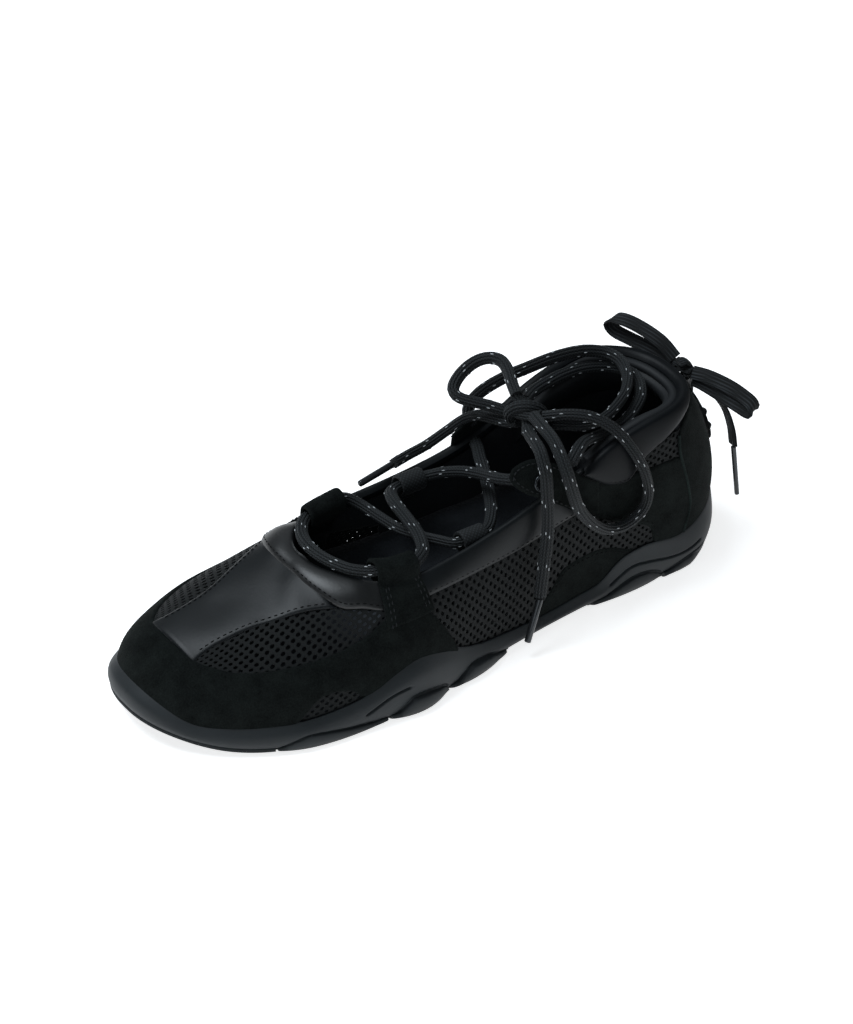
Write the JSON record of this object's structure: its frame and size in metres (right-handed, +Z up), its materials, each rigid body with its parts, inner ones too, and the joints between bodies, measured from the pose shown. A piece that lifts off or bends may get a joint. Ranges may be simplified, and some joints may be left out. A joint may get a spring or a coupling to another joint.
{
  "type": "lace-up sneaker",
  "caption": "Low black lace-up sneaker, left shoe, with a thin wavy rubber cup sole, long open throat without tongue, side straps, ankle tabs and a tied lace.",
  "frame": {"origin": "on the ground under the middle of the shoe's box, without the free laces", "axes": "+Z up, -Y towards the toe, +X towards the lateral side, which is the wearer's left"},
  "size_m": [0.0987, 0.2744, 0.0905],
  "materials": {
    "charcoal_rubber": "matte moulded",
    "outsole_rubber": "matte moulded",
    "insole_textile": "woven",
    "black_leather": "soft sheen",
    "black_suede": "brushed nap",
    "black_webbing": "woven",
    "black_lace": "braided",
    "glossy_aglet": "glossy"
  },
  "bodies": {
    "root": {"sole": "charcoal_rubber", "pod_heel_end": "outsole_rubber", "pod_heel": "outsole_rubber", "pod_waist": "outsole_rubber", "pod_ball": "outsole_rubber", "pod_forefoot": "outsole_rubber", "pod_toe": "outsole_rubber", "insole": "insole_textile", "upper": "black_leather", "collar_pad": "black_leather", "strap_lateral": "black_suede", "strap_medial": "black_suede", "webbing_lateral": "black_webbing", "webbing_medial": "black_webbing", "ankle_tab_lateral": "black_suede", "ankle_tab_medial": "black_suede", "lace_crossings": "black_lace", "lace_wrap_medial": "black_lace", "lace_wrap_lateral": "black_lace", "lace_knot": "black_lace", "lace_loop_left": "black_lace", "lace_loop_right": "black_lace", "lace_end_left": "black_lace", "lace_end_right": "black_lace", "aglet_left": "glossy_aglet", "aglet_right": "glossy_aglet", "heel_lacing": "black_lace", "heel_loop_upper_lateral": "black_webbing", "heel_loop_upper_medial": "black_webbing", "heel_loop_lower_lateral": "black_webbing", "heel_loop_lower_medial": "black_webbing", "heel_knot": "black_lace", "heel_bow_lateral": "black_lace", "heel_bow_medial": "black_lace", "heel_end_lateral": "black_lace", "heel_end_medial": "black_lace", "heel_aglet_lateral": "glossy_aglet", "heel_aglet_medial": "glossy_aglet"}
  },
  "joints": []
}
